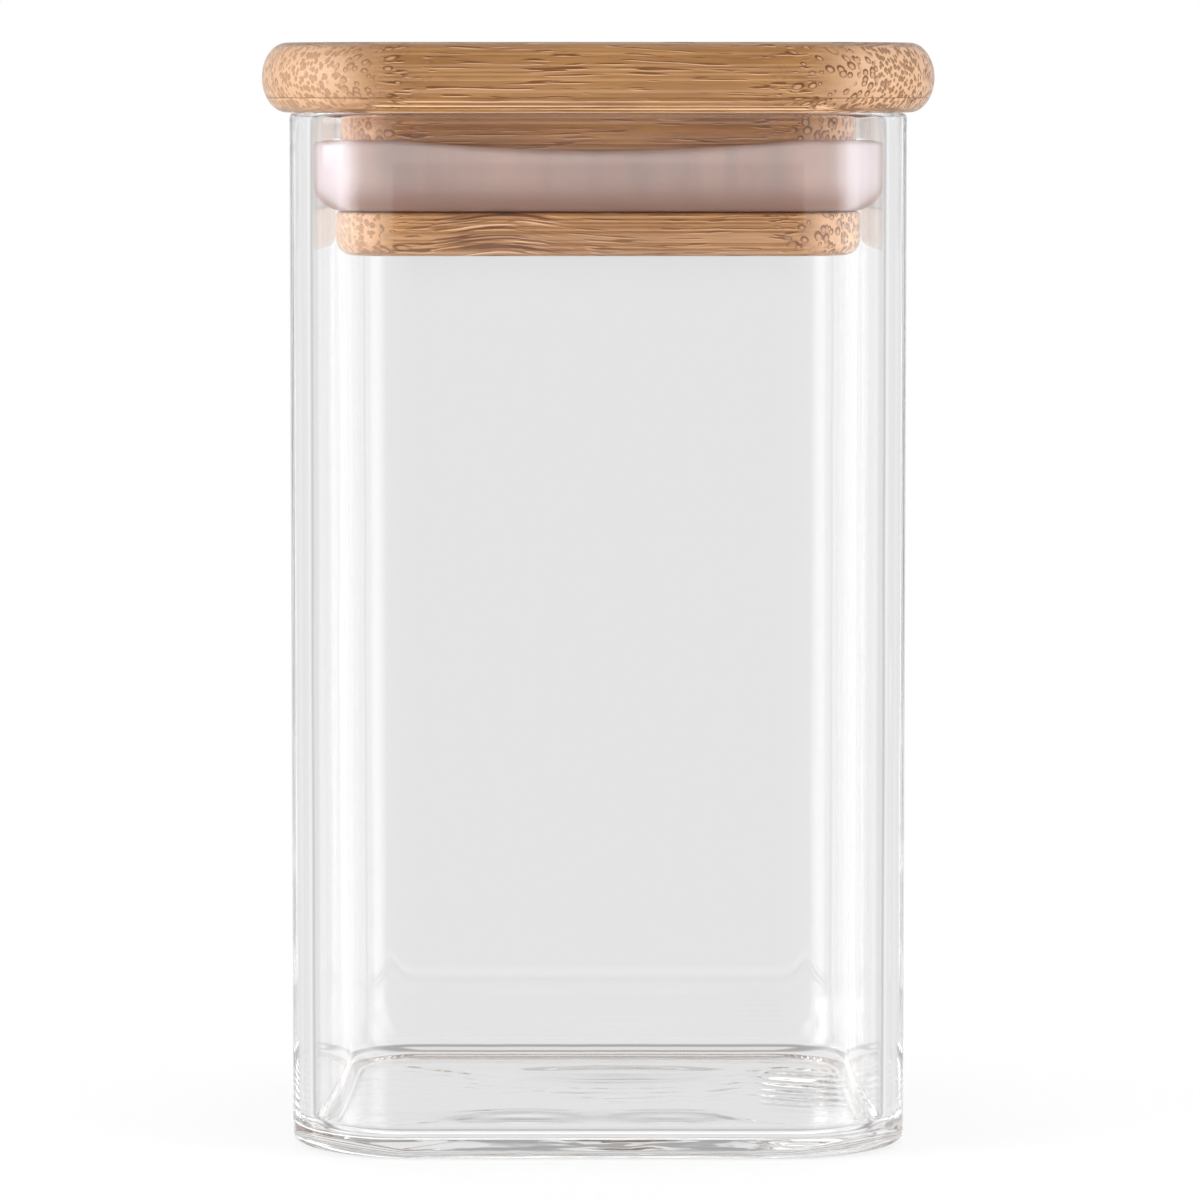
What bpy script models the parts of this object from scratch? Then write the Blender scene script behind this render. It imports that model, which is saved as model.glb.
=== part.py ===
"""Square glass food canister with a glued bamboo lid and a silicone seal ring.

Metres, +Z up. The origin is the middle of the jar's base, on the surface that the jar stands on.
Every rounded square in the object shares the same four corner centres, so the wall of the jar,
the seal, the groove and the plug all run parallel round the corners.
"""

import math

import bmesh
import bpy

MM = 0.001
FIT_GAP = 0.3 * MM  # left between pieces that touch

# Jar
JAR_HALF = 42.5 * MM  # half the outside width
JAR_CORNER = 16 * MM  # outside radius of the upright corners
JAR_WALL = 3 * MM
JAR_FLOOR = 2.5 * MM
JAR_HEIGHT = 143 * MM
JAR_BASE_ROUND = 2 * MM  # outside edge round the base
JAR_FLOOR_ROUND = 3 * MM  # inside edge round the floor
RIM_ROUND = 0.6 * MM  # both edges of the rim

# Lid board, glued from two plies, with its underside at height 0
LID_OVERHANG = 3.75 * MM  # past the outside of the jar
LID_THICKNESS = 9.3 * MM
LID_NOSE = 3.45 * MM  # how far the rounded edge reaches in from the side
NOSE_FLAT = 0.2 * MM  # upright band in the middle of the rounded edge
GLUE_LINE = 2 * MM  # height of the joint between the plies

# Plug and seal, as depths below the lid's underside
NECK_HALF = 35.5 * MM
NECK_DEPTH = 6 * MM
GROOVE_HALF = 33 * MM
BASE_HALF = 36.1 * MM
BASE_TOP = 13.8 * MM
BASE_BOTTOM = 19.8 * MM
BASE_LOWER_ROUND = 2.2 * MM
BASE_UPPER_ROUND = 0.6 * MM
SEAL_CLEAR = 0.3 * MM  # between the seal and the glass
SEAL_CORNER_TOP = 3.9 * MM  # the seal's upper lip at the corners
SEAL_MIDDLE_TOP = 5.5 * MM  # and at the middle of each side, where it is pulled down
SEAL_LIP_ROUND = 0.7 * MM  # height of the rounding on the lip
SEAL_SIDE_END = 10 * MM  # where its upright face ends and its lower edge curves in
SEAL_LOWER_REACH = 3.6 * MM  # how far the lower edge curves in

# Smoothness of the rounded shapes
CORNER_STEPS = 8
NOSE_STEPS = 5
ROUND_STEPS = 4
SMALL_ROUND_STEPS = 2
LIP_STEPS = 4
SIDE_STEPS = 4
SMOOTH_ANGLE = math.radians(40)
SAME_HEIGHT = 0.001 * MM

# Worked out from the sizes above
CORNER_CENTRE = JAR_HALF - JAR_CORNER
LID_HALF = JAR_HALF + LID_OVERHANG
LID_HEIGHT = JAR_HEIGHT + FIT_GAP
SEAL_HALF = JAR_HALF - JAR_WALL - SEAL_CLEAR

# Colour, roughness, transmission and index of refraction
FINISHES = {
    "glass": ((0.86, 0.9, 0.9), 0.02, 1, 1.47),
    "bamboo_top": ((0.42, 0.22, 0.09), 0.4, 0, 1.5),
    "bamboo_bottom": ((0.49, 0.28, 0.13), 0.4, 0, 1.5),
    "bamboo_neck": ((0.32, 0.15, 0.07), 0.45, 0, 1.5),
    "bamboo_base": ((0.41, 0.21, 0.11), 0.45, 0, 1.5),
    "silicone": ((0.72, 0.58, 0.55), 0.35, 0.3, 1.41),
}


def clear_scene():
    for thing in list(bpy.data.objects):
        bpy.data.objects.remove(thing, do_unlink=True)


def make_material(name):
    colour, roughness, transmission, ior = FINISHES[name]
    material = bpy.data.materials.new(name)
    material.use_nodes = True
    shader = material.node_tree.nodes["Principled BSDF"]
    shader.inputs["Base Color"].default_value = (*colour, 1)
    shader.inputs["Metallic"].default_value = 0
    shader.inputs["Roughness"].default_value = roughness
    shader.inputs["Transmission Weight"].default_value = transmission
    shader.inputs["IOR"].default_value = ior
    return material


def add_piece(name, body, finish, collection, parent=None):
    """Turn a bmesh into a named object with smooth faces and sharp creases."""
    bmesh.ops.recalc_face_normals(body, faces=body.faces)
    mesh = bpy.data.meshes.new(name)
    body.to_mesh(mesh)
    body.free()
    mesh.shade_smooth()
    mesh.set_sharp_from_angle(angle=SMOOTH_ANGLE)
    mesh.materials.append(make_material(finish))
    piece = bpy.data.objects.new(name, mesh)
    piece.parent = parent
    collection.objects.link(piece)


def is_upright(edge):
    along = edge.verts[1].co - edge.verts[0].co
    return abs(along.z) > abs(along.x) + abs(along.y)


def is_level(part, height):
    """Whether an edge or a face lies flat at one height."""
    return all(abs(vert.co.z - height) < SAME_HEIGHT for vert in part.verts)


def round_edges(body, edges, radius, steps):
    bmesh.ops.bevel(
        body,
        geom=edges,
        offset=radius,
        offset_type="OFFSET",
        segments=steps,
        profile=0.5,
        affect="EDGES",
    )


def round_outline(body, height, radius, steps):
    """Round the creased edges that lie at one height."""
    creased = [edge for edge in body.edges if edge.calc_face_angle(0) > SMOOTH_ANGLE]
    round_edges(body, [edge for edge in creased if is_level(edge, height)], radius, steps)


def square_block(half, bottom, top):
    """A square block with its upright corners rounded about the shared corner centres."""
    body = bmesh.new()
    bmesh.ops.create_cube(body, size=2)
    for vert in body.verts:
        vert.co.x *= half
        vert.co.y *= half
        vert.co.z = top if vert.co.z > 0 else bottom
    uprights = [edge for edge in body.edges if is_upright(edge)]
    round_edges(body, uprights, half - CORNER_CENTRE, CORNER_STEPS)
    return body


def step_face(body, height, ledge, new_height):
    """Move the middle of a flat face to a new height, leaving a ledge of even width round it."""
    level = [face for face in body.faces if is_level(face, height)]
    bmesh.ops.inset_region(body, faces=level, thickness=ledge, use_even_offset=True)
    pushed = bmesh.ops.extrude_discrete_faces(body, faces=level)
    for vert in pushed["faces"][0].verts:
        vert.co.z = new_height


def make_jar(collection):
    body = square_block(JAR_HALF, 0, JAR_HEIGHT)
    step_face(body, JAR_HEIGHT, JAR_WALL, JAR_FLOOR)
    round_outline(body, 0, JAR_BASE_ROUND, ROUND_STEPS)
    round_outline(body, JAR_FLOOR, JAR_FLOOR_ROUND, ROUND_STEPS)
    round_outline(body, JAR_HEIGHT, RIM_ROUND, SMALL_ROUND_STEPS)
    add_piece("glass_jar", body, "glass", collection)


def lid_board():
    """The whole lid board. Its edge is rounded while squashed, then stretched to an ellipse."""
    squash = LID_NOSE / ((LID_THICKNESS - NOSE_FLAT) / 2)
    squashed_top = LID_THICKNESS * squash
    body = square_block(LID_HALF, 0, squashed_top)
    round_outline(body, 0, LID_NOSE, NOSE_STEPS)
    round_outline(body, squashed_top, LID_NOSE, NOSE_STEPS)
    for vert in body.verts:
        vert.co.z /= squash
    return body


def make_ply(name, height, keep_above, finish, collection, lid):
    """One ply of the lid board: what lies above or below a level cut."""
    body = lid_board()
    cut = bmesh.ops.bisect_plane(
        body,
        geom=body.verts[:] + body.edges[:] + body.faces[:],
        plane_co=(0, 0, height),
        plane_no=(0, 0, 1),
        clear_outer=not keep_above,
        clear_inner=keep_above,
    )
    outline = [part for part in cut["geom_cut"] if isinstance(part, bmesh.types.BMEdge)]
    bmesh.ops.contextual_create(body, geom=outline)
    add_piece(name, body, finish, collection, lid)


def make_neck(collection, lid):
    """The block under the board, cut back below the neck to form the seal's groove."""
    body = square_block(NECK_HALF, -NECK_DEPTH, -FIT_GAP)
    step_face(body, -NECK_DEPTH, NECK_HALF - GROOVE_HALF, FIT_GAP - BASE_TOP)
    add_piece("plug_neck", body, "bamboo_neck", collection, lid)


def make_base(collection, lid):
    body = square_block(BASE_HALF, -BASE_BOTTOM, -BASE_TOP)
    round_outline(body, -BASE_BOTTOM, BASE_LOWER_ROUND, ROUND_STEPS)
    round_outline(body, -BASE_TOP, BASE_UPPER_ROUND, SMALL_ROUND_STEPS)
    add_piece("plug_base", body, "bamboo_base", collection, lid)


def ring_path():
    """Places on the square of corner centres, each with its way out, going round once."""
    path = []
    for quarter in range(4):
        cosine = round(math.cos(quarter * math.pi / 2))
        sine = round(math.sin(quarter * math.pi / 2))
        stations = []
        for step in range(SIDE_STEPS):
            across = CORNER_CENTRE * (2 * step / SIDE_STEPS - 1)
            stations.append(((across, -CORNER_CENTRE), (0, -1)))
        for step in range(CORNER_STEPS):
            turn = math.pi / 2 * step / CORNER_STEPS
            stations.append(((CORNER_CENTRE, -CORNER_CENTRE), (math.sin(turn), -math.cos(turn))))
        for station in stations:
            path.append([(x * cosine - y * sine, x * sine + y * cosine) for x, y in station])
    return path


def lip_height(place):
    """The seal's upper lip: highest at the corners and pulled down in an arc along each side."""
    from_middle = min(abs(place[0]), abs(place[1])) / CORNER_CENTRE
    return -SEAL_MIDDLE_TOP + (SEAL_MIDDLE_TOP - SEAL_CORNER_TOP) * from_middle**2


def seal_section(lip):
    """The seal's outline at one place: distances out from the corner centre, and heights."""
    outer = SEAL_HALF - CORNER_CENTRE
    beside_neck = NECK_HALF + FIT_GAP - CORNER_CENTRE
    in_groove = GROOVE_HALF + FIT_GAP - CORNER_CENTRE
    rib_top = -NECK_DEPTH - FIT_GAP
    bottom = FIT_GAP - BASE_TOP
    lip_middle = (outer + beside_neck) / 2
    lip_half = (outer - beside_neck) / 2
    section = [(in_groove, bottom), (in_groove, rib_top), (beside_neck, rib_top)]
    for step in range(LIP_STEPS + 1):
        turn = math.pi * step / LIP_STEPS
        rounding = SEAL_LIP_ROUND * (1 - math.sin(turn))
        section.append((lip_middle - lip_half * math.cos(turn), lip - rounding))
    for step in range(ROUND_STEPS + 1):
        turn = math.pi / 2 * step / ROUND_STEPS
        reach = SEAL_LOWER_REACH * (1 - math.cos(turn))
        section.append((outer - reach, -SEAL_SIDE_END + (bottom + SEAL_SIDE_END) * math.sin(turn)))
    return section


def make_seal(collection, lid):
    """A loft round the plug, through sections whose upper lip changes height."""
    body = bmesh.new()
    loops = []
    for place, outward in ring_path():
        loop = []
        for out, height in seal_section(lip_height(place)):
            point = (place[0] + outward[0] * out, place[1] + outward[1] * out, height)
            loop.append(body.verts.new(point))
        loops.append(loop)
    for loop, following in zip(loops, loops[1:] + loops[:1]):
        for corner in range(len(loop)):
            other = (corner + 1) % len(loop)
            body.faces.new((loop[corner], following[corner], following[other], loop[other]))
    add_piece("seal_ring", body, "silicone", collection, lid)


def make_lid(collection):
    """Everything that lifts out together, hung from an empty on the lifting axis."""
    lid = bpy.data.objects.new("lid", None)
    lid.location.z = LID_HEIGHT
    collection.objects.link(lid)
    make_ply("lid_top_ply", GLUE_LINE + FIT_GAP / 2, True, "bamboo_top", collection, lid)
    make_ply("lid_bottom_ply", GLUE_LINE - FIT_GAP / 2, False, "bamboo_bottom", collection, lid)
    make_neck(collection, lid)
    make_base(collection, lid)
    make_seal(collection, lid)


def main():
    clear_scene()
    canister = bpy.data.collections.new("food_canister")
    bpy.context.scene.collection.children.link(canister)
    make_jar(canister)
    make_lid(canister)


main()
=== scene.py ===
# Looks for the square glass canister with its bamboo lid and silicone seal.

import math

import bmesh
import bpy
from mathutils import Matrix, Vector, noise


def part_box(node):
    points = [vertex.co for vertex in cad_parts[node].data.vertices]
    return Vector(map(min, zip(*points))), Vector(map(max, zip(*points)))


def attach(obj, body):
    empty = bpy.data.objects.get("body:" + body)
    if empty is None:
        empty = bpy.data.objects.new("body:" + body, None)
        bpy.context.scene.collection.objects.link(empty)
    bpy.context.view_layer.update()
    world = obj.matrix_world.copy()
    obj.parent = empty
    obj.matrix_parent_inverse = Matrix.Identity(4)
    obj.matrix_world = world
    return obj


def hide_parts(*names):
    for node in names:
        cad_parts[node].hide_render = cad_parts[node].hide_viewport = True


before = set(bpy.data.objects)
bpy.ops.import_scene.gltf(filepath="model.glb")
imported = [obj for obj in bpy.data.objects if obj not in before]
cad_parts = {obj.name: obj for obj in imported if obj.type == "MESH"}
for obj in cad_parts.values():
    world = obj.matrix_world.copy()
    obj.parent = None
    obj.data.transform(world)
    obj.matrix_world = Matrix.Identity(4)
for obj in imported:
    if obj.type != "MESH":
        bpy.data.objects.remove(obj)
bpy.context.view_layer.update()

MM = 0.001

# Sizes read from the frame
JAR_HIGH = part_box("glass_jar")[1]
BOARD_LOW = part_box("lid_bottom_ply")[0]
BOARD_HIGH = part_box("lid_top_ply")[1]
NECK_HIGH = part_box("plug_neck")[1]
BASE_LOW, BASE_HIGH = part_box("plug_base")
SEAL_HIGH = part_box("seal_ring")[1]

# Jar
CORNER_CENTRE = 26.5 * MM  # every rounded square turns about these four centres
WALL = 3 * MM
FLOOR = 2.2 * MM
BASE_ROUND = 1.6 * MM  # along the sides
BASE_CORNER_ROUND = 2.8 * MM
FLOOR_ROUND = 2.8 * MM  # height of the soft curve between the floor and the wall
FLOOR_REACH = 4 * MM  # width of that curve
FLOOR_SOFTNESS = 2.4  # 2 would make it an ellipse, and more starts it more gently
RIM_ROUND = 0.8 * MM
POLISH_LINE = 4.2 * MM  # faint line below the rim where the edge was flame polished
POLISH_DEPTH = 0.04 * MM
POLISH_HALF_WIDTH = 0.4 * MM
OUTER = JAR_HIGH.x - CORNER_CENTRE
INNER = OUTER - WALL
NEARLY = 0.1 * MM  # closer than this counts as on a surface

# Waviness of the glass floor, with X and Y measured from the middle of the jar
PUSH_UP = 0.4 * MM  # how far the middle rises
PUSH_UP_START = 30 * MM
PUSH_UP_END = 14 * MM
FLOOR_FADE = 6 * MM  # the waves die out over this distance from the inner wall
SWELL_HEIGHT = 0.01 * MM
SWELL_X, SWELL_Y = 24 * MM, 17 * MM
RIPPLE_HEIGHT = 0.18 * MM
RIPPLE_LENGTH = 5.6 * MM
RIPPLE_SLANT = 0.3
RIPPLE_X, RIPPLE_REACH_X, RIPPLE_FADE_X = 31 * MM, 9 * MM, 5 * MM
RIPPLE_Y, RIPPLE_REACH_Y, RIPPLE_FADE_Y = 7 * MM, 20 * MM, 8 * MM
RIDGE_HEIGHT = 0.8 * MM
RIDGE_Y, RIDGE_WIDTH = -19 * MM, 3 * MM
RIDGE_REACH = 24 * MM
LUMP_LENGTH = 11 * MM  # of the lumps along the ridge
OVAL_HEIGHT = 0.6 * MM
OVAL_X, OVAL_REACH_X = 3 * MM, 13 * MM
OVAL_Y, OVAL_REACH_Y = 17 * MM, 7 * MM

# Lid
REST_GAP = 0.05 * MM  # between the board and the rim
BOARD_BOTTOM = JAR_HIGH.z + REST_GAP
BOARD_THICKNESS = BOARD_HIGH.z - BOARD_BOTTOM
NOSE = 3.45 * MM  # how far the rounded edge reaches past the flat of the board
GLUE_LINE = 2 * MM  # above the board's underside
GLUE_GAP = 0.02 * MM
GLUE_CHAMFER = 0.04 * MM
NECK_DEPTH = 6 * MM
NECK_CHAMFER = 0.3 * MM
GROOVE_DEPTH = 2.5 * MM
GROOVE_CHAMFER = 0.2 * MM
PLATE_GAP = 0.1 * MM  # between the neck and the plug's base
LOWER_ROUND = 2.2 * MM  # along the lower edge of the plug's base
UPPER_ROUND = 0.5 * MM  # along its upper edge

# Seal. Its first three sizes are measured down from the board.
SEAL_CORNER_TOP = 3.9 * MM
SEAL_MIDDLE_TOP = 5.5 * MM
SEAL_SIDE_END = 10 * MM
SEAL_LOWER_REACH = 4.2 * MM  # width of the curve that draws it in below
SEAL_LIP = 0.9 * MM  # height of its rounded upper edge
SEAL_CLEARANCE = 0.15 * MM  # from the neck and from the walls of the groove
SEAL_SEAT = 0.06 * MM  # from the plug's base
SEAL_CREASE = 50  # degrees, above which its edges look sharp

# Smoothness, in steps
CORNER_STEPS = 28
SIDE_STEPS = 40
ROUND_STEPS = 10
RIM_STEPS = 6
HOLLOW_STEPS = 24
WALL_STEPS = 40
POLISH_STEPS = 4
GLASS_FLAT_STEPS = 40
WOOD_FLAT_STEPS = 10
LOWER_PLY_STEPS = 8
UPPER_PLY_STEPS = 20
UPPER_ROUND_STEPS = 5
SEAL_SIDE_STEPS = 8
SEAL_SKIRT_STEPS = 12

# Colours
BAMBOO_LIGHT = (0.41, 0.19, 0.048)
BAMBOO_DEEP = (0.235, 0.087, 0.015)
BAMBOO_BROWN = (0.13, 0.036, 0.005)
# BAMBOO_PALE is the wood's pale fibre, and also serves as painted light on the ends and painted highlights
# beside dashes and in cores
BAMBOO_PALE = (0.93, 0.58, 0.35)
SILICONE_PINK = (0.71, 0.52, 0.46, 1)
SILICONE_GREY = (0.56, 0.43, 0.395, 1)
# Painted side light: the colour that whitens the silicone's corners, also used for their faint glow
SILICONE_SIDE_LIGHT = (0.87, 0.76, 0.81, 1)
# Brown of the seal's lower part: partly wood seen through the thin silicone, partly painted shade
SILICONE_WOOD_AND_SHADE = (0.42, 0.25, 0.20, 1)

# Bamboo, in millimetres
STRIP = 10.28  # width of a strip
GLUE_Y = -36.6  # Y of one glue line between strips
BUNDLE_SHAPE = 0.7  # width of a fibre bundle against its height
BEND_START = 22.0  # fibres bend beyond this distance from the middle
SWIRL_X, SWIRL_REACH = -13.0, 8.0
NO_BUTT = -99.0  # a butt joint off the lid, for strips that run its whole length
DASH_SCALE = (0.1, 0.9, 2.7)
# The pale side of a dash is a painted highlight, as if light from above caught the lower edge of its groove
DASH_HIGHLIGHT_DROP = 0.14  # how far the pale side of a dash lies below the dark side

# Camera, and the pale floor that the canister stands on
CAMERA_PLACE = (0.25 * MM, -892.5 * MM, 146.5 * MM)
CAMERA_PITCH = 4.673  # degrees below level
LENS = 188.2
SENSOR = 36.0
STAGE_RADIUS = 1.2
STAGE_STEPS = 96
STAGE_SOLID = 0.15  # the floor is solid out to here
STAGE_GONE = 0.4  # and has faded away here
STAGE_DROP = 0.02 * MM  # below the base, so that the two don't touch
SHADOW = 0.3  # strength of the contact shadow
GLOW = 1.06
GLASS_BOUNCES = 96
CLEAR_BOUNCES = 24

# The studio's walls: (degrees from straight back, brightness)
WALLS = (
    (0, 0.765),
    (14, 0.765),
    (28, 0.85),
    (50, 0.85),
    (56, 0.36),
    (64, 0.36),
    (70, 0.88),
    (130, 0.84),
    (180, 0.62),
)
# Its soft boxes: degrees from straight back, half width, lowest, highest, softness of the edges
# and added brightness. Each stands on both sides, but one with a negative bearing stands only on
# the left. Those of negative brightness are black flags: one at the height of the camera, and two
# behind the jar that draw the dark lines along the edges of its floor.
SOFT_BOXES = (
    (180, 45, 16, 48, 5, 0.35),
    (180, 60, -25, 12, 8, 0.35),
    (180, 80, -85, -20, 5, 0.8),
    (112, 13, -25, 45, 5, 2.5),
    (76, 8, -25, 45, 5, 1.0),
    (0, 40, 32, 60, 5, 0.8),
    (180, 12, -1.5, 1.5, 0.4, -0.75),
    (-104, 12, 1, 14, 3, 4.6),
    (0, 60, -28, -22, 2, -0.42),
    (0, 50, 17, 27, 3, -0.4),
)


# ---------------------------------------------------------------- shapes


def ring_stations():
    """Places on the square of corner centres, each with its way out, going round once."""
    stations = []
    for quarter in range(4):
        cosine = round(math.cos(quarter * math.pi / 2))
        sine = round(math.sin(quarter * math.pi / 2))
        side = []
        for step in range(SIDE_STEPS):
            across = CORNER_CENTRE * (2 * step / SIDE_STEPS - 1)
            side.append((across, -CORNER_CENTRE, 0, -1))
        for step in range(CORNER_STEPS):
            turn = math.pi / 2 * step / CORNER_STEPS
            side.append((CORNER_CENTRE, -CORNER_CENTRE, math.sin(turn), -math.cos(turn)))
        for x, y, out_x, out_y in side:
            place = Vector((x * cosine - y * sine, x * sine + y * cosine, 0))
            outward = Vector((out_x * cosine - out_y * sine, out_x * sine + out_y * cosine, 0))
            stations.append((place, outward))
    return stations


STATIONS = ring_stations()


def even_rings(outline):
    """One loop round the object for each point of an outline that is the same all the way round."""
    rings = []
    for out, height in outline:
        rings.append([place + outward * out + Vector((0, 0, height)) for place, outward in STATIONS])
    return rings


def upright_sections(outline_at):
    """The outline at each station, which outline_at gives for its place and its way out."""
    sections = []
    for place, outward in STATIONS:
        outline = outline_at(place, outward)
        sections.append([place + outward * out + Vector((0, 0, height)) for out, height in outline])
    return sections


def shrunk_rings(ring, steps):
    """Loops that shrink a flat ring evenly towards the middle."""
    height = ring[0].z
    rings = []
    for step in range(1, steps):
        share = 1 - step / steps
        rings.append([Vector((p.x * share, p.y * share, height)) for p in ring])
    return rings


def arc(centre_out, centre_height, reach, rise, start, end, steps=ROUND_STEPS):
    """Points of an elliptical arc, as (out, height), from one angle to another in degrees."""
    points = []
    for step in range(steps + 1):
        turn = math.radians(start + (end - start) * step / steps)
        points.append((centre_out + reach * math.cos(turn), centre_height + rise * math.sin(turn)))
    return points


def hollow(out, height, reach, rise):
    """Points of a soft inner corner, from the wall down to the floor. It has no sudden start."""
    points = []
    for step in range(HOLLOW_STEPS + 1):
        turn = math.pi / 2 * step / HOLLOW_STEPS
        along = reach * (1 - abs(math.cos(turn)) ** (2 / FLOOR_SOFTNESS))
        down = rise * (1 - abs(math.sin(turn)) ** (2 / FLOOR_SOFTNESS))
        points.append((out - along, height + down))
    return points


def straight(start, end, steps):
    """Points strictly between two points of an outline."""
    points = []
    for step in range(1, steps):
        share = step / steps
        out = start[0] + (end[0] - start[0]) * share
        points.append((out, start[1] + (end[1] - start[1]) * share))
    return points


def skin(name, rings, close_ends, shift=None):
    """Join loops into a surface, with each point moved by shift.

    With close_ends, the first and last loops shrink to a middle point. Otherwise they are joined.
    """
    body = bmesh.new()
    loops = []
    for ring in rings:
        points = [shift(p) for p in ring] if shift else ring
        loops.append([body.verts.new(p) for p in points])
    pairs = list(zip(loops, loops[1:]))
    if not close_ends:
        pairs.append((loops[-1], loops[0]))
    for lower, upper in pairs:
        for here in range(len(lower)):
            there = (here + 1) % len(lower)
            body.faces.new((lower[here], lower[there], upper[there], upper[here]))
    if close_ends:
        for loop in (loops[0], loops[-1]):
            middle = body.verts.new(sum((v.co for v in loop), Vector()) / len(loop))
            for here in range(len(loop)):
                body.faces.new((loop[here], loop[(here + 1) % len(loop)], middle))
    bmesh.ops.recalc_face_normals(body, faces=body.faces)
    mesh = bpy.data.meshes.new(name)
    body.to_mesh(mesh)
    body.free()
    mesh.shade_smooth()
    piece = bpy.data.objects.new(name, mesh)
    bpy.context.scene.collection.objects.link(piece)
    return piece


def solid(name, outline):
    """A solid whose outline, from the edge of its underside to the edge of its top, is given."""
    rings = even_rings(outline)
    below = shrunk_rings(rings[0], WOOD_FLAT_STEPS)
    above = shrunk_rings(rings[-1], WOOD_FLAT_STEPS)
    return skin(name, below[::-1] + rings + above, True)


# ---------------------------------------------------------------- jar


def jar_outline(_place, outward):
    """From the flat of the underside, up the outside, over the rim and down to the inner floor."""
    corner = 2 * abs(outward.x * outward.y)  # 0 along a side and 1 at the middle of a corner
    heel = BASE_ROUND + (BASE_CORNER_ROUND - BASE_ROUND) * corner
    base = arc(OUTER - heel, heel, heel, heel, -90, 0)
    rim = JAR_HIGH.z - RIM_ROUND
    rim_outer = arc(OUTER - RIM_ROUND, rim, RIM_ROUND, RIM_ROUND, 0, 90, RIM_STEPS)
    rim_inner = arc(INNER + RIM_ROUND, rim, RIM_ROUND, RIM_ROUND, 90, 180, RIM_STEPS)
    floor_round = hollow(INNER, FLOOR, FLOOR_REACH, FLOOR_ROUND)
    polish = JAR_HIGH.z - POLISH_LINE
    line = [
        (OUTER, polish - POLISH_HALF_WIDTH),
        (OUTER - POLISH_DEPTH, polish),
        (OUTER, polish + POLISH_HALF_WIDTH),
    ]
    outside = straight(base[-1], line[0], WALL_STEPS)
    outside += line
    outside += straight(line[-1], rim_outer[0], POLISH_STEPS)
    inside = straight(rim_inner[-1], floor_round[0], WALL_STEPS)
    return base + outside + rim_outer + rim_inner + inside + floor_round


def hill(offset, width):
    """A smooth hump, 1 at its middle."""
    return math.exp(-((offset / width) ** 2))


def within(limit, fade):
    """1 far inside a limit, falling to 0 at it over the last stretch."""
    return min(1, max(0, limit / fade))


def floor_waves(point):
    """Height of the glass floor's swell, ripples, lumpy ridge and low oval at a point.

    The bare numbers in its noise are arbitrary places that give pleasing waves.
    """
    swell = noise.noise(Vector((point.x / SWELL_X, point.y / SWELL_Y, 3.1)))
    ripple = math.sin((point.y + RIPPLE_SLANT * point.x) * 2 * math.pi / RIPPLE_LENGTH)
    ripple *= within(RIPPLE_REACH_X - abs(point.x - RIPPLE_X), RIPPLE_FADE_X)
    ripple *= within(RIPPLE_REACH_Y - abs(point.y - RIPPLE_Y), RIPPLE_FADE_Y)
    lumps = 0.6 + 0.9 * noise.noise(Vector((point.x / LUMP_LENGTH, 7.7, 1.3)))
    ridge = hill(point.y - RIDGE_Y, RIDGE_WIDTH) * lumps * hill(point.x, RIDGE_REACH)
    oval = hill(point.x - OVAL_X, OVAL_REACH_X) * hill(point.y - OVAL_Y, OVAL_REACH_Y)
    return SWELL_HEIGHT * swell + RIPPLE_HEIGHT * ripple + RIDGE_HEIGHT * ridge + OVAL_HEIGHT * oval


def hand_blown(point):
    """Move a point of the jar for its pushed-up bottom and the waviness of real glass."""
    away = max(abs(point.x), abs(point.y))
    rise = within(PUSH_UP_START - away, PUSH_UP_START - PUSH_UP_END)
    rise = PUSH_UP * rise * rise * (3 - 2 * rise)
    moved = point.copy()
    if point.z < NEARLY:
        moved.z += rise
    wall = CORNER_CENTRE + INNER
    inside = away < wall - NEARLY and point.z > FLOOR - NEARLY
    if inside and point.z < FLOOR + FLOOR_ROUND:
        moved.z += floor_waves(point) * within(wall - away, FLOOR_FADE) + rise
    return moved


def make_jar():
    """The glass jar: one closed surface, from the middle of its underside to that of its floor."""
    rings = [list(ring) for ring in zip(*upright_sections(jar_outline))]
    under = shrunk_rings(rings[0], GLASS_FLAT_STEPS)
    floor = shrunk_rings(rings[-1], GLASS_FLAT_STEPS)
    jar = skin("jar_glass", under[::-1] + rings + floor, True, hand_blown)
    jar.data.materials.append(glass_material())
    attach(jar, "jar")
    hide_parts("glass_jar")


# ---------------------------------------------------------------- lid


def board_edge(start, end, steps):
    """The lid's elliptical nose between two heights above its underside."""
    half = BOARD_THICKNESS / 2
    reach = BOARD_HIGH.x - CORNER_CENTRE - NOSE
    low = math.degrees(math.asin(max(-1, (start - half) / half)))
    high = math.degrees(math.asin(min(1, (end - half) / half)))
    return arc(reach, BOARD_BOTTOM + half, NOSE, half, low, high, steps)


def nicked(points, at_top):
    """Cut a small chamfer where the outline meets the glue line."""
    out, height = points[-1] if at_top else points[0]
    step = -GLUE_CHAMFER if at_top else GLUE_CHAMFER
    inside = (out - GLUE_CHAMFER, height)
    eased = (out, height + step)
    if at_top:
        return points[:-1] + [eased, inside]
    return [inside, eased] + points[1:]


def make_board():
    """The lid's two plies, glued flat on each other."""
    lower = nicked(board_edge(0, GLUE_LINE - GLUE_GAP / 2, LOWER_PLY_STEPS), True)
    upper = nicked(board_edge(GLUE_LINE + GLUE_GAP / 2, BOARD_THICKNESS, UPPER_PLY_STEPS), False)
    bottom = solid("lid_board_lower", lower)
    top = solid("lid_board_upper", upper)
    plain = bamboo_material("bamboo_lower", seed=11.0, tone=0.88, lines=1.0, skew=0.01)
    speckled = bamboo_material("bamboo_upper", seed=3.0, tone=0.8, lines=0.15, skew=-0.019)
    for piece, node, material in ((bottom, "lid_bottom_ply", plain), (top, "lid_top_ply", speckled)):
        piece.data.materials.append(material)
        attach(piece, "lid")
        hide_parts(node)


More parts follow.
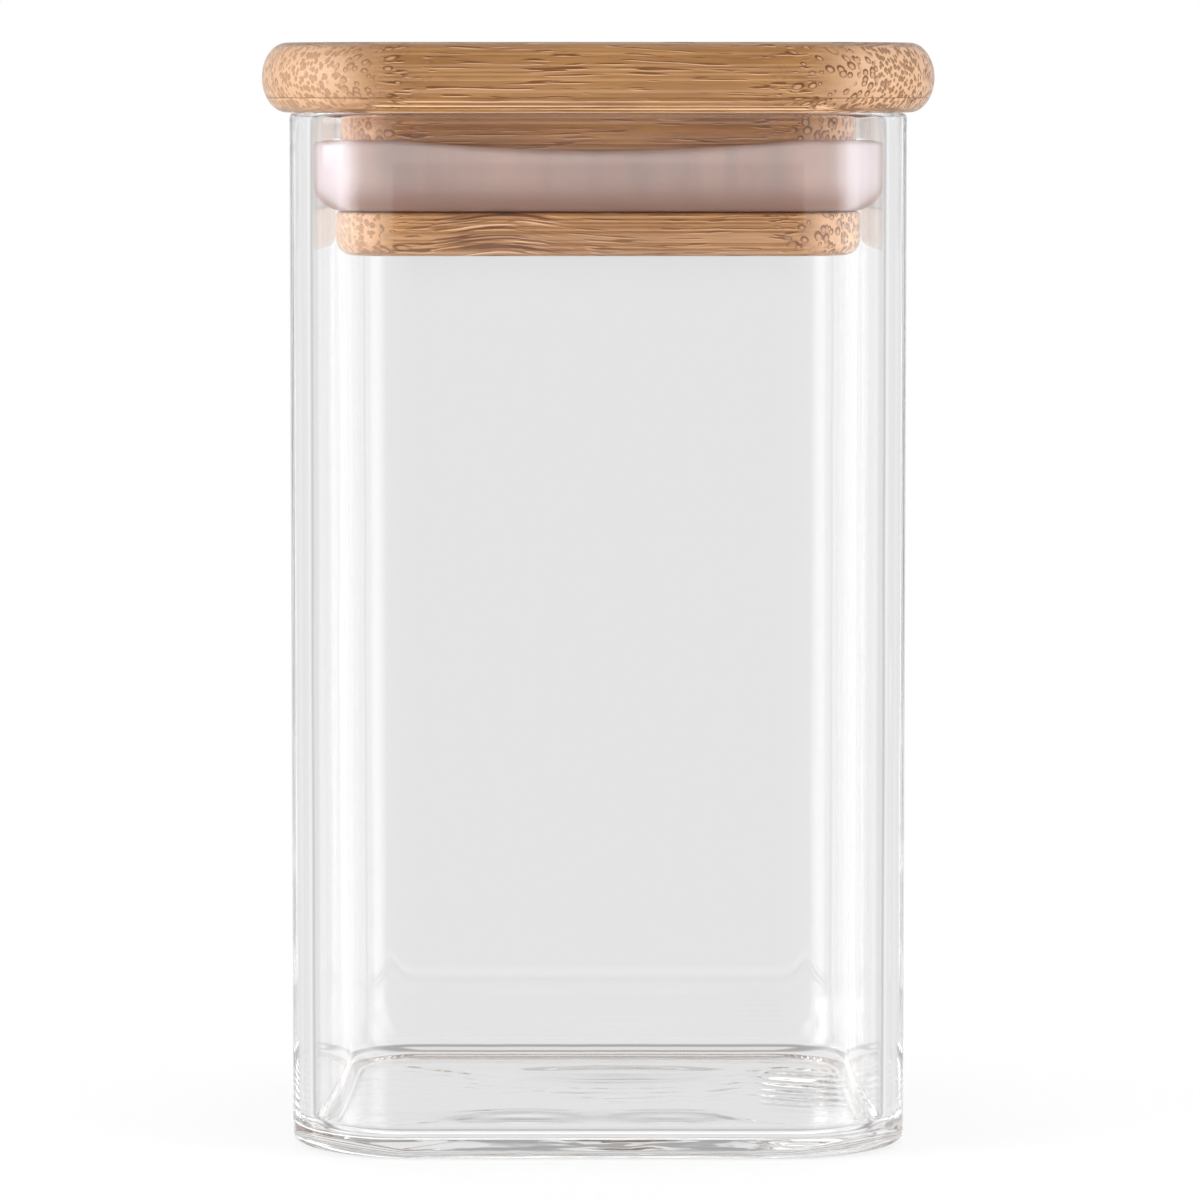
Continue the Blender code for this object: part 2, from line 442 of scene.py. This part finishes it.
def neck_outline():
    """From the bottom of the groove up to the board."""
    neck_out = NECK_HIGH.x - CORNER_CENTRE
    neck_bottom = BOARD_LOW.z - NECK_DEPTH
    groove_out = neck_out - GROOVE_DEPTH
    return [
        (groove_out, BASE_HIGH.z + PLATE_GAP),
        (groove_out, neck_bottom - GROOVE_CHAMFER),
        (groove_out + GROOVE_CHAMFER, neck_bottom),
        (neck_out - NECK_CHAMFER, neck_bottom),
        (neck_out, neck_bottom + NECK_CHAMFER),
        (neck_out, BOARD_BOTTOM - GLUE_GAP),
    ]


def base_outline():
    """The plug's base plate, with a wide round below and a small one above."""
    base_out = BASE_HIGH.x - CORNER_CENTRE
    lower = arc(base_out - LOWER_ROUND, BASE_LOW.z + LOWER_ROUND, LOWER_ROUND, LOWER_ROUND, -90, 0)
    top = BASE_HIGH.z - UPPER_ROUND
    upper = arc(base_out - UPPER_ROUND, top, UPPER_ROUND, UPPER_ROUND, 0, 90, UPPER_ROUND_STEPS)
    return lower + upper


def make_plug():
    """The block under the lid, and the plate that holds the seal on."""
    neck = solid("plug_neck_block", neck_outline())
    base = solid("plug_base_plate", base_outline())
    # Painted light: the neck and base get about twice the board's brightness, to offset the shade they
    # stand in under the board and behind the seal
    brown = bamboo_material("bamboo_neck", seed=23.0, tone=1.9, lines=0.25)
    wavy = bamboo_material("bamboo_base", seed=37.0, tone=1.65, lines=0.3, swirl=1.0, butt=-29.6)
    for piece, node, material in ((neck, "plug_neck", brown), (base, "plug_base", wavy)):
        piece.data.materials.append(material)
        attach(piece, "lid")
        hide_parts(node)


# ---------------------------------------------------------------- seal


def lip_drop(place):
    """How far the seal's upper lip lies below the board: least at the corners."""
    from_middle = min(abs(place.x), abs(place.y)) / CORNER_CENTRE
    return SEAL_MIDDLE_TOP + (SEAL_CORNER_TOP - SEAL_MIDDLE_TOP) * from_middle**2


def seal_outline(place, _outward):
    """From inside the groove, out over the neck's edge, down the outside and back."""
    lip = BOARD_LOW.z - lip_drop(place)
    side_end = BOARD_LOW.z - SEAL_SIDE_END
    rib_top = BOARD_LOW.z - NECK_DEPTH - SEAL_CLEARANCE
    bottom = BASE_HIGH.z + SEAL_SEAT
    outer = SEAL_HIGH.x - CORNER_CENTRE
    beside_neck = NECK_HIGH.x - CORNER_CENTRE + SEAL_CLEARANCE
    in_groove = beside_neck - GROOVE_DEPTH
    half = (outer - beside_neck) / 2
    skirt_out = outer - SEAL_LOWER_REACH
    outline = [(in_groove, bottom), (in_groove, rib_top), (beside_neck, rib_top)]
    outline += arc(outer - half, lip - SEAL_LIP, half, SEAL_LIP, 180, 0)
    outline += straight(outline[-1], (outer, side_end), SEAL_SIDE_STEPS)
    outline += arc(skirt_out, side_end, SEAL_LOWER_REACH, side_end - bottom, 0, -90, SEAL_SKIRT_STEPS)
    return outline


def make_seal():
    """The silicone ring round the plug."""
    seal = skin("silicone_seal", upright_sections(seal_outline), False)
    seal.data.set_sharp_from_angle(angle=math.radians(SEAL_CREASE))
    seal.data.materials.append(silicone_material())
    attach(seal, "lid")
    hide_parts("seal_ring")


# ---------------------------------------------------------------- node helpers


class Tree:
    """Short calls for building a node tree."""

    def __init__(self, owner):
        owner.use_nodes = True
        self.tree = owner.node_tree
        self.tree.nodes.clear()

    def node(self, kind, inputs=None, **settings):
        made = self.tree.nodes.new(kind)
        for key, value in settings.items():
            setattr(made, key, value)
        for key, value in (inputs or {}).items():
            self.feed(made.inputs[key], value)
        return made

    def feed(self, socket, value):
        if isinstance(value, bpy.types.NodeSocket):
            self.tree.links.new(value, socket)
        else:
            socket.default_value = value

    def math(self, operation, *values, clamp=False):
        made = self.node("ShaderNodeMath", operation=operation, use_clamp=clamp)
        for socket, value in zip(made.inputs, values):
            self.feed(socket, value)
        return made.outputs[0]

    def vector_math(self, operation, *values):
        made = self.node("ShaderNodeVectorMath", operation=operation)
        for socket, value in zip(made.inputs, values):
            self.feed(socket, value)
        return made

    def ramp(self, value, low, high, to_low=0.0, to_high=1.0):
        """A smooth step from one value to another."""
        limits = {"From Min": low, "From Max": high, "To Min": to_low, "To Max": to_high}
        made = self.node("ShaderNodeMapRange", {"Value": value, **limits}, interpolation_type="SMOOTHSTEP")
        return made.outputs[0]

    def mix(self, factor, first, second):
        """Between two colours."""
        made = self.node("ShaderNodeMix", data_type="RGBA")
        self.feed(made.inputs[0], factor)
        self.feed(made.inputs[6], first)
        self.feed(made.inputs[7], second)
        return made.outputs[2]

    def cover(self, colour, share, strength, over):
        """Lay a second colour over the first, by the product of a share and a strength."""
        return self.mix(self.math("MULTIPLY", share, strength), colour, over)

    def blend(self, factor, first, second):
        """Between two plain numbers."""
        made = self.node("ShaderNodeMix", data_type="FLOAT")
        self.feed(made.inputs[0], factor)
        self.feed(made.inputs[2], first)
        self.feed(made.inputs[3], second)
        return made.outputs[0]

    def vector(self, x, y, z):
        return self.node("ShaderNodeCombineXYZ", {"X": x, "Y": y, "Z": z}).outputs[0]

    def split(self, vector):
        return self.node("ShaderNodeSeparateXYZ", {"Vector": vector}).outputs

    def noise(self, vector, detail=2.0, rough=0.5):
        settings = {"Vector": vector, "Scale": 1.0, "Detail": detail, "Roughness": rough}
        return self.node("ShaderNodeTexNoise", settings).outputs["Fac"]

    def stretched_noise(self, place, scale, shift=0.0, detail=2.0, rough=0.5):
        """Noise at a place that is scaled along each axis, and shifted along the first."""
        x, y, z = place
        stretched = self.vector(
            self.math("MULTIPLY_ADD", x, scale[0], shift),
            self.math("MULTIPLY", y, scale[1]),
            self.math("MULTIPLY", z, scale[2]),
        )
        return self.noise(stretched, detail, rough)

    def millimetres(self):
        """Object coordinates in millimetres, as X, Y and Z."""
        scaled = self.vector_math("SCALE", self.node("ShaderNodeTexCoord").outputs["Object"])
        scaled.inputs["Scale"].default_value = 1 / MM
        return tuple(self.split(scaled.outputs[0]))

    def bump(self, height, strength, distance):
        inputs = {"Height": height, "Strength": strength, "Distance": distance}
        return self.node("ShaderNodeBump", inputs).outputs[0]

    def finish(self, shader, kind="ShaderNodeOutputMaterial"):
        output = self.node(kind)
        self.tree.links.new(shader, output.inputs["Surface"])


# ---------------------------------------------------------------- glass and silicone


def glass_material():
    """Clear glass with long faint waves up its sides."""
    material = bpy.data.materials.new("clear_glass")
    tree = Tree(material)
    waves = tree.stretched_noise(tree.millimetres(), (0.09, 0.09, 0.012))
    shader = tree.node(
        "ShaderNodeBsdfPrincipled",
        {
            "Base Color": (0.99, 0.99, 0.99, 1),
            "Roughness": 0.0,
            "IOR": 1.47,
            "Transmission Weight": 1.0,
            "Normal": tree.bump(waves, 0.12, 0.4 * MM),
        },
    )
    tree.finish(shader.outputs[0])
    return material


def silicone_material():
    """Milky pink silicone, with a painted side light that whitens its corners and makes them glow faintly,
    and a brown lower part that is partly wood seen through the thin silicone and partly painted shade.
    """
    material = bpy.data.materials.new("milky_silicone")
    tree = Tree(material)
    place = tree.millimetres()
    x, y, z = place
    board = BOARD_LOW.z / MM

    streaks = tree.stretched_noise(place, (0.16, 0.16, 0.02), detail=3.0)
    fine = tree.stretched_noise(place, (1.5, 1.5, 3.0), detail=3.0)
    corner = tree.math("MINIMUM", tree.math("ABSOLUTE", x), tree.math("ABSOLUTE", y))
    # Painted light: the corners are whitened, standing in for the strong side lamps shining into the
    # translucent silicone
    painted_side_light = tree.ramp(corner, 30.5, 35.3)
    # Darker and browner low down: partly wood showing through the thin silicone, partly painted shade where
    # the lower part turns in above the plug's base
    wood_and_shade_below = tree.ramp(z, board - 8.8, board - 13.0)

    colour = tree.mix(tree.ramp(streaks, 0.3, 0.7), SILICONE_PINK, SILICONE_GREY)
    colour = tree.cover(colour, painted_side_light, 0.9, SILICONE_SIDE_LIGHT)
    colour = tree.cover(colour, wood_and_shade_below, tree.ramp(painted_side_light, 1.0, 0.2, 0.3, 1.0), SILICONE_WOOD_AND_SHADE)
    shader = tree.node(
        "ShaderNodeBsdfPrincipled",
        {
            "Base Color": colour,
            "Roughness": tree.math("MULTIPLY_ADD", streaks, 0.2, 0.32),
            "IOR": 1.41,
            "Subsurface Weight": 0.5,
            "Subsurface Radius": (1.0, 0.75, 0.7),
            "Subsurface Scale": 3 * MM,
            # The painted side light also glows faintly, though the silicone is no lamp
            "Emission Color": SILICONE_SIDE_LIGHT,
            "Emission Strength": tree.math("MULTIPLY", painted_side_light, 0.04),
            "Normal": tree.bump(fine, 0.15, 0.1 * MM),
        },
    )
    tree.finish(shader.outputs[0])
    return material


# ---------------------------------------------------------------- bamboo


class Bamboo:
    """Side-pressed bamboo: strips on edge with their grain along X, all in millimetres.

    seed shifts the pattern and tone scales its brightness. lines is the strength of straight
    streaks and swirl that of the wavy grain near a joint of the cane. skew turns the glue lines
    about Z, and butt is the X where strips meet end to end.
    """

    def __init__(self, tree, seed, tone, lines, swirl, skew, butt):
        self.tree = tree
        self.seed = seed
        self.tone = tone
        self.lines = lines
        self.swirl = swirl
        self.skew = skew
        self.butt = butt
        self.place = tree.millimetres()
        self.x, self.y, self.z = self.place
        self.find_end_grain()
        self.lay_strips()
        self.lay_fibres()
        self.cut_bundles()
        self.draw_dashes()
        self.draw_streaks()

    def find_end_grain(self):
        """End grain shows where the surface faces along X."""
        out_x, _, self.out_z = self.tree.split(self.tree.node("ShaderNodeTexCoord").outputs["Normal"])
        self.facing = self.tree.math("ABSOLUTE", out_x)
        self.end_grain = self.tree.ramp(self.facing, 0.0, 0.55)

    def lay_strips(self):
        """Strips side by side, each with three random numbers of its own."""
        calc = self.tree.math
        turned = calc("MULTIPLY_ADD", self.x, self.skew, self.y)
        strip = calc("DIVIDE", calc("SUBTRACT", turned, GLUE_Y), STRIP)
        index = calc("FLOOR", strip)
        self.depth = calc("MULTIPLY", calc("SUBTRACT", strip, index), STRIP)
        self.beyond_butt = calc("LESS_THAN", self.x, self.butt)
        row = calc("MULTIPLY_ADD", self.beyond_butt, 5.0, self.seed)
        inputs = {"Vector": self.tree.vector(index, row, 0.0)}
        chance = self.tree.node("ShaderNodeTexWhiteNoise", inputs, noise_dimensions="2D")
        self.chances = tuple(self.tree.split(chance.outputs["Color"]))

    def lay_fibres(self):
        """Places across and up the fibres, which lean, wander, bend near the ends and swirl."""
        calc = self.tree.math
        red, green, blue = self.chances
        self.wander = self.tree.stretched_noise(self.place, (0.07, 0.2, 0.2), self.seed, 1.0)
        rise = self.tree.stretched_noise(self.place, (0.05, 0.15, 0.15), self.seed + 40, 1.0)

        past = calc("MAXIMUM", calc("SUBTRACT", calc("ABSOLUTE", self.x), BEND_START), 0.0)
        off_flat = self.tree.ramp(calc("ABSOLUTE", self.out_z), 0.96, 0.75)
        self.past = calc("MULTIPLY", past, off_flat)
        across = calc("MULTIPLY_ADD", self.x, calc("MULTIPLY_ADD", green, 0.03, 0.045), self.y)
        across = calc("MULTIPLY_ADD", self.wander, 1.1, across)
        across = calc("MULTIPLY_ADD", red, 57.0, across)
        self.across = calc("MULTIPLY_ADD", self.past, 0.3, across)

        near = calc("DIVIDE", calc("SUBTRACT", self.x, SWIRL_X), SWIRL_REACH)
        self.arch = calc("EXPONENT", calc("MULTIPLY", calc("MULTIPLY", near, near), -1.0))
        up = calc("MULTIPLY_ADD", self.x, 0.008, self.z)
        up = calc("MULTIPLY_ADD", rise, 1.2, up)
        up = calc("MULTIPLY_ADD", blue, 31.0, up)
        self.up = calc("MULTIPLY_ADD", self.arch, -1.1 * self.swirl, up)

    def bundles(self, spacing, radius):
        """Fibre bundles cut by the surface: round on end grain, thin dashes on side grain.

        Gives the share of dark fibre and of pale core, which is partly the wood's pale centre and partly a
        painted highlight.
        """
        tree, calc = self.tree, self.tree.math
        aside = calc("DIVIDE", self.across, spacing * BUNDLE_SHAPE)
        place = tree.vector(aside, calc("DIVIDE", self.up, spacing), 0.0)
        inputs = {"Vector": place, "Scale": 1.0, "Randomness": 0.9}
        cells = tree.node("ShaderNodeTexVoronoi", inputs, voronoi_dimensions="2D")
        size, phase, height = tree.split(cells.outputs["Color"])
        reach = calc("MULTIPLY_ADD", size, radius, radius * 0.6)
        reach = calc("MULTIPLY", reach, calc("MULTIPLY_ADD", self.end_grain, 0.4, 0.6))

        # The pale core lies a little below the middle of its bundle: a painted highlight, as if light from
        # above caught the lower side of the hollow
        offset = tree.vector_math("SUBTRACT", place, cells.outputs["Position"]).outputs[0]
        from_middle, above, _ = tree.split(offset)
        lowered = calc("MULTIPLY_ADD", reach, 0.22, above)
        from_core = tree.vector_math("LENGTH", tree.vector(from_middle, lowered, 0.0)).outputs["Value"]
        body = tree.ramp(calc("DIVIDE", cells.outputs["Distance"], reach), 1.1, 0.75)
        core = tree.ramp(calc("DIVIDE", from_core, reach), 0.75, 0.35)

        # Each bundle comes and goes along its length
        along = calc("MULTIPLY_ADD", self.x, 0.2, calc("MULTIPLY", phase, 91.0))
        fade = tree.noise(tree.vector(along, calc("MULTIPLY", height, 77.0), 0.0), 1.0)
        fade = tree.ramp(fade, 0.3, 0.42)
        return calc("MULTIPLY", body, fade), calc("MULTIPLY", core, fade)

    def cut_bundles(self):
        """Bundles, which grow smaller and closer from the inside of the cane to the outside."""
        tree, calc = self.tree, self.tree.math
        coarse, coarse_core = self.bundles(1.5, 0.38)
        middle, middle_core = self.bundles(1.15, 0.4)
        fine, fine_core = self.bundles(0.86, 0.4)
        ragged = calc("MULTIPLY_ADD", self.wander, 2.0, self.depth)
        to_middle = tree.ramp(ragged, 2.6, 3.2)
        to_fine = calc("MAXIMUM", tree.ramp(ragged, 4.2, 4.9), self.beyond_butt)
        body = tree.blend(to_fine, tree.blend(to_middle, coarse, middle), calc("MULTIPLY", fine, 0.85))
        core = tree.blend(to_fine, tree.blend(to_middle, coarse_core, middle_core), fine_core)
        core = calc("MULTIPLY", core, tree.blend(to_fine, 0.75, 0.15))
        cut = calc("MAXIMUM", tree.ramp(self.facing, 0.01, 0.14, 0.15, 1.0), tree.ramp(self.past, 2.0, 5.5))
        cut = calc("MULTIPLY", cut, tree.ramp(self.x, -24.0, -33.0, 1.0, 0.6))
        self.body = calc("MULTIPLY", body, cut)
        self.core = calc("MULTIPLY", core, cut)

    def draw_dashes(self):
        """Short dashes along the side grain: dark fibre above, and below it a painted highlight, as if
        light from above caught the lower edge of a groove.
        """
        tree, calc = self.tree, self.tree.math
        place = (self.x, self.across, self.up)
        raised = (self.x, self.across, calc("ADD", self.up, DASH_HIGHLIGHT_DROP))
        dark = tree.stretched_noise(place, DASH_SCALE, self.seed, 1.5, 0.6)
        dark = tree.ramp(dark, 0.575, 0.635)
        # Painted highlight just below each dark dash
        pale = tree.stretched_noise(raised, DASH_SCALE, self.seed, 1.5, 0.6)
        pale = calc("MULTIPLY", tree.ramp(pale, 0.575, 0.65), calc("SUBTRACT", 1.0, dark))
        side_grain = tree.ramp(self.end_grain, 0.25, 0.02, 0.0, 1.0 - 0.7 * self.lines)
        self.dark_dash = calc("MULTIPLY", dark, side_grain)
        self.dash_highlight = calc("MULTIPLY", pale, side_grain)

    def draw_streaks(self):
        """Streaks and hairs that follow the fibres."""
        place = (self.x, self.across, self.up)
        self.streak = self.tree.stretched_noise(place, (0.035, 0.5, 1.1), self.seed, 4.0, 0.6)
        self.hair = self.tree.stretched_noise(place, (0.25, 4.0, 4.5), self.seed)

    def ground(self):
        """How deep the wood's own colour is, from 0 to 1."""
        calc = self.tree.math
        cloud = self.tree.stretched_noise(self.place, (0.06, 0.15, 0.2), self.seed, 3.0)
        rule = self.tree.stretched_noise(self.place, (0.006, 0.6, 2.6), self.seed)
        of_strip = self.chances[2]
        parts = (
            (self.streak, 1.5),
            (self.hair, 0.5),
            (cloud, 1.6),
            (rule, 3.5 * self.lines),
            (of_strip, 0.35),
        )
        total = 0.45
        for part, strength in parts:
            total = calc("MULTIPLY_ADD", calc("SUBTRACT", part, 0.5), strength, total)
        return calc("ADD", total, 0.0, clamp=True)

    def colour(self):
        """The wood's colour, with each kind of mark laid over the one before."""
        tree, calc = self.tree, self.tree.math
        light, deep, brown = (
            tuple(self.tone * part for part in colour) + (1,)
            for colour in (BAMBOO_LIGHT, BAMBOO_DEEP, BAMBOO_BROWN)
        )
        pale = tuple((0.5 + 0.5 * self.tone) * part for part in BAMBOO_PALE) + (1,)
        colour = tree.mix(self.ground(), light, deep)
        # The ends are paler: partly the wood's own paler end grain, partly painted light from the side
        # lamps that fall on them
        colour = tree.cover(colour, self.end_grain, 0.62, pale)

        # Straight bands along the board
        band = tree.stretched_noise(self.place, (0.004, 0.7, 2.4), self.seed + 3, 1.0)
        ruled = tree.ramp(self.end_grain, 0.4, 0.05, 0.0, self.lines)
        colour = tree.cover(colour, tree.ramp(band, 0.52, 0.6), ruled, pale)
        colour = tree.cover(colour, tree.ramp(band, 0.45, 0.38), ruled, deep)

        # Dashes and bundles, with painted highlights: the pale side of each dash, and part of each pale
        # core
        colour = tree.cover(colour, self.dark_dash, 0.85, brown)
        colour = tree.cover(colour, self.dash_highlight, 0.55, pale)
        colour = tree.cover(colour, self.body, 0.85, brown)
        colour = tree.cover(colour, self.core, 0.65, pale)

        # Pale and dark cracks in the swirl
        if self.swirl:
            place = (self.x, self.across, self.up)
            crack = tree.stretched_noise(place, (0.05, 0.4, 2.6), self.seed + 9)
            zone = calc("MULTIPLY", tree.ramp(self.arch, 0.2, 0.7), self.swirl)
            colour = tree.cover(colour, tree.ramp(crack, 0.58, 0.63), zone, pale)
            colour = tree.cover(colour, tree.ramp(crack, 0.43, 0.38), zone, brown)

        # Glue lines between strips
        from_glue = calc("MINIMUM", self.depth, calc("SUBTRACT", STRIP, self.depth))
        from_butt = calc("ABSOLUTE", calc("SUBTRACT", self.x, self.butt))
        seam = tree.ramp(calc("MINIMUM", from_glue, from_butt), 0.12, 0.03)
        colour = tree.cover(colour, seam, tree.ramp(self.end_grain, 0.5, 0.1, 0.15, 0.45), brown)

        # A painted shade: a dark band along the upper edge, where the rounded nose turns towards the flat
        # top
        edge_shade = calc("MULTIPLY", tree.ramp(self.out_z, 0.7, 0.93), tree.ramp(self.out_z, 0.999, 0.98))
        return tree.cover(colour, edge_shade, 0.45, brown)

    def relief(self):
        """Height of the surface: raised hairs and streaks, hollow bundles and rough end grain."""
        calc = self.tree.math
        grit = self.tree.stretched_noise(self.place, (2.6, 2.6, 2.6), self.seed, 3.0, 0.6)
        parts = (
            (self.core, 0.1),
            (self.body, -0.35),
            (self.dark_dash, -0.6),
            (self.hair, 0.45),
            (self.streak, 0.5),
            (calc("MULTIPLY", grit, self.end_grain), 1.0),
        )
        total = 0.0
        for part, height in parts:
            total = calc("MULTIPLY_ADD", part, height, total)
        return total

    def roughness(self):
        """Smoother on the end grain, which takes a polish."""
        calc = self.tree.math
        rough = calc("MULTIPLY_ADD", self.body, 0.1, calc("MULTIPLY_ADD", self.hair, 0.16, 0.24))
        return calc("MULTIPLY", rough, calc("MULTIPLY_ADD", self.end_grain, -0.45, 1.0))

    def gloss(self):
        """Weaker in the dark fibre, which is open."""
        calc = self.tree.math
        return calc("MULTIPLY_ADD", calc("MAXIMUM", self.body, self.dark_dash), -0.35, 0.5)


def bamboo_material(name, seed, tone, lines=0.0, swirl=0.0, skew=0.0, butt=NO_BUTT):
    """Oiled bamboo. The class Bamboo says what the numbers mean."""
    material = bpy.data.materials.new(name)
    tree = Tree(material)
    wood = Bamboo(tree, seed, tone, lines, swirl, skew, butt)
    shader = tree.node(
        "ShaderNodeBsdfPrincipled",
        {
            "Base Color": wood.colour(),
            "Roughness": wood.roughness(),
            "Specular IOR Level": wood.gloss(),
            "Coat Weight": 0.1,
            "Coat Roughness": 0.2,
            "Normal": tree.bump(wood.relief(), 0.8, 0.14 * MM),
        },
    )
    tree.finish(shader.outputs[0])
    return material


# ---------------------------------------------------------------- studio


def make_camera():
    """A camera in front of the canister, at the height of its lid."""
    data = bpy.data.cameras.new("camera")
    data.lens = LENS
    data.sensor_width = SENSOR
    data.clip_start = 0.05
    data.clip_end = 20
    camera = bpy.data.objects.new("camera", data)
    camera.location = CAMERA_PLACE
    camera.rotation_euler = (math.radians(90 - CAMERA_PITCH), 0, 0)
    bpy.context.scene.collection.objects.link(camera)
    bpy.context.scene.camera = camera


def floor_material():
    """Glowing white paper with a faint shadow, solid near the object and gone further out."""
    material = bpy.data.materials.new("pale_floor")
    tree = Tree(material)
    from_middle = tree.vector_math("LENGTH", tree.node("ShaderNodeTexCoord").outputs["Object"])
    fade = tree.ramp(from_middle.outputs["Value"], STAGE_SOLID, STAGE_GONE)
    diffuse = tree.node("ShaderNodeBsdfDiffuse", {"Color": (0.9, 0.9, 0.9, 1)}).outputs[0]
    glow = tree.node("ShaderNodeEmission", {"Strength": GLOW}).outputs[0]
    clear = tree.node("ShaderNodeBsdfTransparent").outputs[0]
    paper = tree.node("ShaderNodeMixShader", {0: SHADOW, 1: glow, 2: diffuse}).outputs[0]
    mixed = tree.node("ShaderNodeMixShader", {0: fade, 1: paper, 2: clear}).outputs[0]
    tree.finish(mixed)
    return material


def make_floor():
    """A pale floor that fades away into the white background. Only the camera sees it."""
    body = bmesh.new()
    bmesh.ops.create_circle(body, cap_ends=True, radius=STAGE_RADIUS, segments=STAGE_STEPS)
    mesh = bpy.data.meshes.new("floor")
    body.to_mesh(mesh)
    body.free()
    floor = bpy.data.objects.new("floor", mesh)
    floor.location.z = -STAGE_DROP
    floor.visible_diffuse = False
    floor.visible_glossy = False
    floor.visible_transmission = False
    bpy.context.scene.collection.objects.link(floor)
    mesh.materials.append(floor_material())


def wall_brightness(tree, bearing):
    """Brightness of the studio's walls at a bearing in degrees."""
    ramp = tree.node("ShaderNodeValToRGB", {0: tree.math("DIVIDE", bearing, 180.0)})
    stops = ramp.color_ramp.elements
    for number, (degrees, bright) in enumerate(WALLS):
        stop = stops[number] if number < 2 else stops.new(degrees / 180)
        stop.position = degrees / 180
        stop.color = (bright, bright, bright, 1)
    return ramp.outputs[0]


def make_studio():
    """A white background for the camera, and walls and soft boxes for everything else."""
    world = bpy.data.worlds.new("studio")
    bpy.context.scene.world = world
    tree = Tree(world)
    x, y, z = tree.split(tree.node("ShaderNodeTexCoord").outputs["Generated"])
    turned = tree.math("DEGREES", tree.math("ARCTAN2", x, y))
    bearing = tree.math("ABSOLUTE", turned)
    height = tree.math("DEGREES", tree.math("ARCSINE", z))
    total = wall_brightness(tree, bearing)
    for middle, half, lowest, highest, edge, bright in SOFT_BOXES:
        measured = turned if middle < 0 else bearing
        aside = tree.math("ABSOLUTE", tree.math("SUBTRACT", measured, float(middle)))
        inside = tree.ramp(aside, half + edge, half - edge, 0.0, bright)
        above = tree.ramp(height, lowest - edge, lowest + edge)
        below = tree.ramp(height, highest + edge, highest - edge)
        inside = tree.math("MULTIPLY", inside, tree.math("MULTIPLY", above, below))
        total = tree.math("ADD", total, inside)
    is_camera = tree.node("ShaderNodeLightPath").outputs["Is Camera Ray"]
    light = tree.node("ShaderNodeBackground", {"Color": (1, 1, 1, 1), "Strength": total}).outputs[0]
    white = tree.node("ShaderNodeBackground", {"Color": (1, 1, 1, 1), "Strength": 1.0}).outputs[0]
    mixed = tree.node("ShaderNodeMixShader", {0: is_camera, 1: light, 2: white}).outputs[0]
    tree.finish(mixed, "ShaderNodeOutputWorld")


def set_light_paths():
    """Plain colours, and bounces enough to leave the thick glass."""
    scene = bpy.context.scene
    scene.view_settings.view_transform = "Standard"
    scene.cycles.max_bounces = GLASS_BOUNCES
    scene.cycles.transmission_bounces = GLASS_BOUNCES
    scene.cycles.glossy_bounces = GLASS_BOUNCES
    scene.cycles.transparent_max_bounces = CLEAR_BOUNCES


make_jar()
make_board()
make_plug()
make_seal()
make_floor()
make_studio()
make_camera()
set_light_paths()
